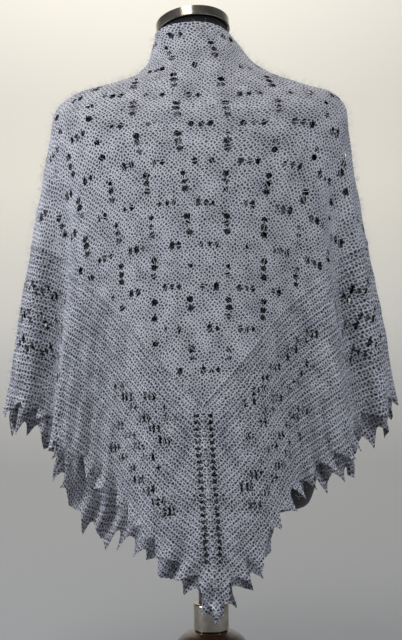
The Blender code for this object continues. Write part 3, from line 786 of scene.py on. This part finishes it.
def makePiece(name, kind, side, under, material):
    # cuts a flat piece of the knitting, opens its eyelets and hangs it
    longer = drape["underLonger"] if under else 0.0
    cell = cloth["underCell"] if under else cloth["upperCell"]
    centre = drape["centreHalfDiagonal"] / math.sqrt(2)
    half = drape["halfDiagonal"] + longer
    bandEnd = half - drape["edgingWidth"] * math.sqrt(2)
    band, hem = bandEnd / math.sqrt(2), half / math.sqrt(2)
    spans = {"centre": (-centre, centre), "border": (centre, band), "edging": (band, hem)}
    bm = gridBetween(*spans[kind], cell)
    cutAway(bm, (-1, -1))
    if kind != "centre":
        cutAway(bm, (-1, 1))
    eyelets, swings = [], None
    if kind == "centre":
        eyelets = latticeEyelets(lace["underShift"] if under else (0.0, 0.0))
        size = (2 * drape["centreHalfDiagonal"], drape["centreHalfDiagonal"])
    elif kind == "border":
        ladder, stairs = borderEyelets(side, longer)
        eyelets = ladder + stairs
        size = (band - centre, centre + band)
    else:
        size = (drape["edgingWidth"], band + hem)
        swings = pointedEdge(bm, bandEnd, half, 11 + 2 * side + under)
    openEyelets(bm, eyelets, cell, side)
    area = sum(face.calc_area() for face in bm.faces)  # of the cut, less its eyelets
    if side > 0:
        bmesh.ops.reverse_faces(bm, faces=bm.faces)
    loose = [v for v in bm.verts if not v.link_faces]
    bmesh.ops.delete(bm, geom=loose, context="VERTS")
    order = [swings.get(v.index, (0, 0.0)) for v in bm.verts] if swings else None
    obj = finishPiece(name, bm, material)
    hang(obj, side, under, eyelets, order, 55 + side)
    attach(obj, "root")
    return obj, size, area


def makeLayer(under):
    prefix = "under_" if under else ""
    material = underYarn if under else upperYarn
    for name, kind, side in (("centre_panel", "centre", 1), ("border_left", "border", -1),
                             ("border_right", "border", 1), ("edging_left", "edging", -1),
                             ("edging_right", "edging", 1)):
        obj, size, area = makePiece(prefix + name + "_knit", kind, side, under, material)
        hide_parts(prefix + name)
        print(prefix + name, len(obj.data.polygons), "faces")


makeLayer(False)
makeLayer(True)


# Strands across eyelets and the mohair's halo
threads = {
    "strandWidth": 0.0006,
    "strandCounts": (0, 0, 1, 1),
    "strandOff": 0.35,
    "strandSag": ((0.0, 0.0002), (0.5, -0.0004), (1.0, 0.0002)),  # share of its length, height
    "hairs": 15000,
    "hairReach": (0.0025, 0.0100),
    "hairRun": 0.007,
    "hairWidth": 0.00024,
    "hemMargin": 0.012,
}


def ribbon(bm, points, widths):
    # a narrow strip along worn points
    rows = []
    for k, point in enumerate(points):
        ahead = Vector(points[min(k + 1, len(points) - 1)]) - Vector(points[max(k - 1, 0)])
        across = ahead.cross(Vector((0.31, -0.93, 0.2))).normalized() * widths[k] / 2
        rows.append((bm.verts.new(Vector(point) - across), bm.verts.new(Vector(point) + across)))
    for (a, b), (c, d) in zip(rows[:-1], rows[1:]):
        bm.faces.new((a, b, d, c))


def makeStrands():
    # a strand of yarn across about half of the upper layer's eyelets
    bm = bmesh.new()
    eyelets = latticeEyelets((0.0, 0.0))
    for side in (-1, 1):
        eyelets += borderEyelets(side, 0.0)[1]
    starts, ends = [], []
    for s, t, width, height in eyelets:
        for _ in range(chance.choice(threads["strandCounts"])):
            angle = chance.uniform(0, math.pi)
            off = chance.uniform(-threads["strandOff"], threads["strandOff"])
            ds, dt = math.cos(angle), math.sin(angle)
            ms, mt = s - dt * off * width / 2, t + ds * off * height / 2
            starts.append((ms - ds * width / 2, mt - dt * height / 2))
            ends.append((ms + ds * width / 2, mt + dt * height / 2))
    starts, ends = np.array(starts), np.array(ends)
    lines = []
    for share, proud in threads["strandSag"]:
        flat = starts * (1 - share) + ends * share
        lines.append(wornPlace(flat[:, 0], flat[:, 1], False, np.full(len(flat), proud)))
    for points in zip(*lines):
        ribbon(bm, points, (threads["strandWidth"],) * 3)
    return finishPiece("eyelet_strands", bm, upperYarn)


def makeHalo():
    # fine hairs that stand off the upper layer and bend over
    count = threads["hairs"]
    dice = np.random.default_rng(17)
    half = drape["halfDiagonal"]
    s = dice.uniform(-half, half, count * 2)
    t = dice.uniform(0.0, half, count * 2)
    inside = np.nonzero(np.abs(s) + t < half - threads["hemMargin"])[0][:count]
    s, t = s[inside], t[inside]
    reach = dice.uniform(*threads["hairReach"], len(s))
    ds, dt = dice.uniform(-1, 1, (2, len(s))) * threads["hairRun"]
    root = wornPlace(s, t, False, np.zeros(len(s)))
    middle = wornPlace(s + ds * 0.4, np.maximum(t + dt * 0.4, 0.0), False, reach * 0.75)
    tip = wornPlace(s + ds, np.maximum(t + dt, 0.0), False, reach)
    bm = bmesh.new()
    width = threads["hairWidth"]
    for points in zip(root, middle, tip):
        ribbon(bm, points, (width, width, width * 0.4))
    return finishPiece("mohair_halo", bm, upperYarn)


for threadPiece in (makeStrands(), makeHalo()):
    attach(threadPiece, "root")
    print(threadPiece.name, len(threadPiece.data.polygons), "faces")


# Cotton jersey drawn tight over a moulded form: near black, fine ribs about 1 mm apart
def makeJersey():
    material, tree, shader = newMaterial("black_cotton_jersey", Roughness=0.9, IOR=1.5,
                                         Sheen_Weight=0.2, Sheen_Roughness=0.5)
    where = addNode(tree, "TexCoord").outputs["Object"]
    ribs = addNode(tree, "TexWave", {"wave_type": "BANDS", "bands_direction": "X"},
                   {"Scale": 160.0, "Distortion": 1.5}, {"Vector": where})
    lint = addNode(tree, "TexNoise", inputs={"Scale": 400.0, "Detail": 2.0},
                   links={"Vector": where})
    colour = ramp(tree, lint.outputs["Fac"], (0.35, "#0d0e11"), (0.75, "#1b1c21"))
    paint(tree, shader, colour, ribs.outputs["Fac"], 0.3, 0.0004)
    return material


# Polished chromed steel: bright, with faint smears and dust
def makeSteel():
    material, tree, shader = newMaterial("chromed_steel", Metallic=1.0, Roughness=0.16)
    where = addNode(tree, "TexCoord").outputs["Object"]
    smear = addNode(tree, "TexNoise", inputs={"Scale": 60.0, "Detail": 4.0},
                    links={"Vector": where})
    colour = ramp(tree, smear.outputs["Fac"], (0.3, "#8f887b"), (0.7, "#bdb7aa"))
    paint(tree, shader, colour)
    rough = addNode(tree, "MapRange", inputs={"To Min": 0.10, "To Max": 0.24},
                    links={"Value": smear.outputs["Fac"]})
    tree.links.new(rough.outputs[0], shader.inputs["Roughness"])
    return material


# Lacquered plate of the neck cap: black and glossy
def makeLacquer():
    material, tree, shader = newMaterial("black_lacquer", Roughness=0.25, IOR=1.5, Coat_Weight=0.4,
                                         Coat_Roughness=0.1)
    where = addNode(tree, "TexCoord").outputs["Object"]
    dust = addNode(tree, "TexNoise", inputs={"Scale": 300.0, "Detail": 3.0},
                   links={"Vector": where})
    colour = ramp(tree, dust.outputs["Fac"], (0.45, "#08080a"), (0.8, "#1a1a1c"))
    paint(tree, shader, colour)
    return material


# Turned beech with a dark walnut stain under varnish: long grain, glossy coat
def makeWood():
    material, tree, shader = newMaterial("varnished_dark_wood", Roughness=0.38, IOR=1.5,
                                         Coat_Weight=0.6, Coat_Roughness=0.12)
    where = addNode(tree, "TexCoord").outputs["Object"]
    drawn = addNode(tree, "Mapping", inputs={"Scale": (1.0, 1.0, 0.08)}, links={"Vector": where})
    grain = addNode(tree, "TexNoise", inputs={"Scale": 220.0, "Detail": 5.0, "Distortion": 0.6},
                    links={"Vector": drawn.outputs[0]})
    colour = ramp(tree, grain.outputs["Fac"], (0.30, "#1c0c07"), (0.55, "#41200f"), (0.80, "#5e3319"))
    paint(tree, shader, colour, grain.outputs["Fac"], 0.15, 0.0003)
    return material


# The part's own sizes of the form and its stand, turned in more steps so that they look round
stand = {
    "lean": 17,
    "turn": 16,
    "torsoColumns": ("z", "cx", "cy", "half", "back", "front", "lean"),
    "torso": (
        (0.277, -0.002, 0.002, 0.122, 0.086, 0.09, 0),
        (0.285, -0.002, 0.002, 0.141, 0.098, 0.102, 0),
        (0.325, -0.003, 0.002, 0.153, 0.106, 0.11, 0),
        (0.38, -0.004, 0.003, 0.15, 0.102, 0.108, 0),
        (0.44, -0.005, 0.006, 0.134, 0.092, 0.098, 0),
        (0.5, -0.006, 0.01, 0.12, 0.082, 0.088, 0),
        (0.6, -0.006, 0.018, 0.13, 0.088, 0.1, 0),
        (0.68, -0.006, 0.022, 0.147, 0.098, 0.119, 0),
        (0.75, -0.006, 0.024, 0.163, 0.103, 0.112, 0),
        (0.8, -0.006, 0.028, 0.176, 0.1, 0.095, 0),
        (0.834, -0.005, 0.034, 0.167, 0.083, 0.077, 2),
        (0.856, -0.004, 0.04, 0.137, 0.07, 0.065, 5),
        (0.87, -0.004, 0.045, 0.101, 0.06, 0.059, 8),
        (0.885, -0.007, 0.05, 0.069, 0.053, 0.053, 11),
        (0.904, -0.0123, 0.0549, 0.051, 0.049, 0.049, 14),
        (0.925, -0.014, 0.0608, 0.0476, 0.0476, 0.0476, 17),
        (0.958, -0.0168, 0.0705, 0.0476, 0.0476, 0.0476, 17),
    ),
    "capRadius": 0.0535,
    "capHeight": 0.0150,
    "capWall": 0.0030,
    "plateThickness": 0.0090,
    "domeShoulder": (0.6, 0.0030),  # share of the plate's radius, rise above its rim
    "domeTop": 0.0040,
    "poleRadius": 0.0175,
    "collarRadius": 0.0245,
    "collarTop": 0.1450,
    "softEdge": 0.0009,
    "collarRound": 0.0030,
    "baseTop": 0.1060,
    "base": (
        (0.13, 0.0000), (0.131, 0.005), (0.1295, 0.013), (0.118, 0.02), (0.09, 0.0285),
        (0.068, 0.042), (0.058, 0.058), (0.055, 0.074), (0.05, 0.088), (0.04, 0.099),
        (0.027, 0.106),
    ),
    "touch": 0.0003,
    "steps": 96,
    "torsoRows": 90,
    "baseRows": 61,
    "curlSteps": 6,
    "sharpFrom": 32,
}


def curveThrough(rows, count):
    # a smooth curve through the rows of a table, as count rows
    table = np.array(rows, dtype=float)
    wanted = np.linspace(0, len(table) - 1, count)
    i = np.clip(wanted.astype(int), 0, len(table) - 2)
    return between(table, np.gradient(table, axis=0), i, (wanted - i)[:, None], 1)


def tilt(degrees):
    # a lean towards the way that the form faces
    turn = Matrix.Rotation(math.radians(stand["turn"]), 4, "Z")
    return turn @ Matrix.Rotation(math.radians(-degrees), 4, "X") @ turn.inverted()


def finishStand(name, bm, material):
    # a smooth piece that takes the place of the part's own
    bmesh.ops.recalc_face_normals(bm, faces=bm.faces)
    obj = finishPiece(name + "_finished", bm, material)
    obj.data.set_sharp_from_angle(angle=math.radians(stand["sharpFrom"]))
    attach(obj, "root")
    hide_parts(name)


def turnPiece(name, profile, material, placed=None):
    # spins a profile of radius and height; one that starts off the axis is closed into a ring
    bm = bmesh.new()
    verts = [bm.verts.new((radius, 0, z)) for radius, z in profile]
    edges = [bm.edges.new(pair) for pair in zip(verts[:-1], verts[1:])]
    if profile[0][0] > 0:
        edges.append(bm.edges.new((verts[-1], verts[0])))
    bmesh.ops.spin(bm, geom=verts + edges, cent=(0, 0, 0), axis=(0, 0, 1), angle=2 * math.pi,
                   steps=stand["steps"], use_merge=True)
    bmesh.ops.remove_doubles(bm, verts=bm.verts, dist=1e-6)
    if placed is not None:
        bmesh.ops.transform(bm, matrix=placed, verts=bm.verts)
    finishStand(name, bm, material)


def makeTorso(material):
    bm = bmesh.new()
    loops = []
    for row in curveThrough(stand["torso"], stand["torsoRows"]):
        ring = dict(zip(stand["torsoColumns"], row))
        placed = Matrix.Translation((ring["cx"], ring["cy"], ring["z"])) @ tilt(ring["lean"])
        loop = []
        for k in range(stand["steps"]):
            angle = 2 * math.pi * k / stand["steps"]
            depth = ring["back"] if math.cos(angle) > 0 else ring["front"]
            point = Vector((ring["half"] * math.sin(angle), -depth * math.cos(angle), 0))
            loop.append(bm.verts.new(placed @ point))
        loops.append(loop)
    for low, high in zip(loops[:-1], loops[1:]):
        for k in range(stand["steps"]):
            after = (k + 1) % stand["steps"]
            bm.faces.new((low[k], low[after], high[after], high[k]))
    bm.faces.new(loops[0])
    bm.faces.new(loops[-1])
    finishStand("form_torso", bm, material)


def makeStand(steel, lacquer, wood):
    touch, soft = stand["touch"], stand["softEdge"]
    z, cx, cy = stand["torso"][-1][:3]
    cap = Matrix.Translation((cx, cy, z)) @ tilt(stand["lean"]) @ Matrix.Translation((0, 0, touch))
    outer, top = stand["capRadius"], stand["capHeight"]
    inner = outer - stand["capWall"]
    band = ((inner, 0), (outer - soft, 0), (outer, soft), (outer, top - soft), (outer - soft, top),
            (inner + soft, top), (inner, top - soft))
    turnPiece("neck_cap_band", band, steel, cap)
    plate, thick = inner - touch, stand["plateThickness"]
    shoulder, rise = stand["domeShoulder"]
    dome = ((0, 0), (plate, 0), (plate, thick - soft), (plate - soft, thick),
            (plate * shoulder, thick + rise), (0, thick + stand["domeTop"]))
    turnPiece("neck_cap_plate", dome, lacquer, cap)
    low = stand["baseTop"] + touch
    high = stand["torso"][0][0] - touch
    radius = stand["poleRadius"]
    turnPiece("pole", ((0, low), (radius, low), (radius, high), (0, high)), wood)
    bore, edge, curl = radius + touch, stand["collarRadius"], stand["collarRound"]
    collarTop = stand["collarTop"]
    collar = [(bore, low), (edge - curl, low)]
    for centre, start in ((low + curl, -90), (collarTop - curl, 0)):
        for k in range(stand["curlSteps"] + 1):
            angle = math.radians(start + 90 * k / stand["curlSteps"])
            collar.append((edge - curl + curl * math.cos(angle), centre + curl * math.sin(angle)))
    collar.append((bore, collarTop))
    turnPiece("pole_collar", collar, steel)
    profile = [(max(r, 0.0), max(h, 0.0)) for r, h in curveThrough(stand["base"], stand["baseRows"])]
    turnPiece("base", [(0, 0), *profile, (0, stand["baseTop"])], wood)


makeTorso(makeJersey())
makeStand(makeSteel(), makeLacquer(), makeWood())
print("form and stand finished")


# Floor, wall, camera and lights
studio = {
    "floorHalf": 6.0,
    "wallBehind": 4.2,
    "wallHeight": 6.0,
    "sweep": 1.6,
    "sweepSteps": 12,
    # painted shade: grey at the floor, turning cream up the wall, as light falls off lower down
    "paintedShadeGreys": ((0.0, "#9ea0a3"), (0.28, "#d2d2cf"), (0.60, "#f0eee5"), (1.0, "#f8f6ee")),
    "greysTop": 2.0,
    "camera": (-0.010, -1.75, 0.540),
    "roll": 0.6,
    "sensor": 24.0,
    "focalPixels": 1250,
    "photoHeight": 640,
    "world": ("#c9ccd6", 0.26),
    # place, aim, size in metres, power in watts and colour
    "lights": {
        "ceiling": ((-0.5, -1.0, 2.6), (0.0, 0.1, 0.75), 0.9, 16, "#fffaf2"),
        "window": ((-2.5, -0.75, 1.0), (0.0, 0.0, 0.6), 0.8, 41, "#f0f3fc"),
        "farWindow": ((1.9, -1.3, 0.8), (0.2, 0.2, 0.5), 0.9, 14, "#f0f3fc"),
        "wallWash": ((-0.4, 2.2, 4.4), (-0.2, 4.2, 1.4), 2.4, 122, "#fffaf0"),
    },
}


def makeStage():
    # floor and wall in one sheet of paper, with a round sweep between them
    material, tree, shader = newMaterial("paper_with_painted_shade", Roughness=0.9)
    where = addNode(tree, "TexCoord").outputs["Object"]
    axes = addNode(tree, "SeparateXYZ", links={0: where})
    # painted shade: the paper's colour darkens towards the floor by height
    height = addNode(tree, "MapRange", inputs={"From Max": studio["greysTop"]},
                     links={"Value": axes.outputs["Z"]})
    colour = ramp(tree, height.outputs[0], *studio["paintedShadeGreys"])
    paint(tree, shader, colour)
    bm = bmesh.new()
    half, wall, sweep = (studio[name] for name in ("floorHalf", "wallBehind", "sweep"))
    profile = [(-half, 0.0), (wall - sweep, 0.0)]
    for k in range(1, studio["sweepSteps"] + 1):
        angle = math.radians(90 * k / studio["sweepSteps"])
        profile.append((wall - sweep * (1 - math.sin(angle)), sweep * (1 - math.cos(angle))))
    profile.append((wall, studio["wallHeight"]))
    row = [bm.verts.new((-half, y, z)) for y, z in profile]
    edges = [bm.edges.new(pair) for pair in zip(row[:-1], row[1:])]
    widened = bmesh.ops.extrude_edge_only(bm, edges=edges)
    far = [v for v in widened["geom"] if isinstance(v, bmesh.types.BMVert)]
    bmesh.ops.translate(bm, vec=(2 * half, 0, 0), verts=far)
    bmesh.ops.recalc_face_normals(bm, faces=bm.faces)
    finishPiece("floor_and_wall", bm, material)


def addLight(name, place, aim, size, power, colour):
    data = bpy.data.lights.new(name, "AREA")
    data.shape = "SQUARE"
    data.size = size
    data.energy = power
    data.color = linear(colour)[:3]
    obj = bpy.data.objects.new(name, data)
    obj.location = place
    obj.rotation_euler = (Vector(aim) - Vector(place)).to_track_quat("-Z", "Y").to_euler()
    bpy.context.scene.collection.objects.link(obj)


makeStage()
for lightName, settings in studio["lights"].items():
    addLight(lightName, *settings)

worldColour, worldStrength = studio["world"]
world = bpy.data.worlds.new("room")
world.use_nodes = True
world.node_tree.nodes["Background"].inputs["Color"].default_value = linear(worldColour)
world.node_tree.nodes["Background"].inputs["Strength"].default_value = worldStrength
bpy.context.scene.world = world
print("stage and lights set")

cameraData = bpy.data.cameras.new("camera")
cameraData.sensor_fit = "VERTICAL"
cameraData.sensor_height = studio["sensor"]
cameraData.lens = studio["sensor"] * studio["focalPixels"] / studio["photoHeight"]
camera = bpy.data.objects.new("camera", cameraData)
camera.location = studio["camera"]
camera.rotation_euler = (math.radians(90), math.radians(studio["roll"]), 0)
bpy.context.scene.collection.objects.link(camera)
bpy.context.scene.camera = camera
bpy.context.scene.view_settings.view_transform = "Standard"

print("all pieces made")
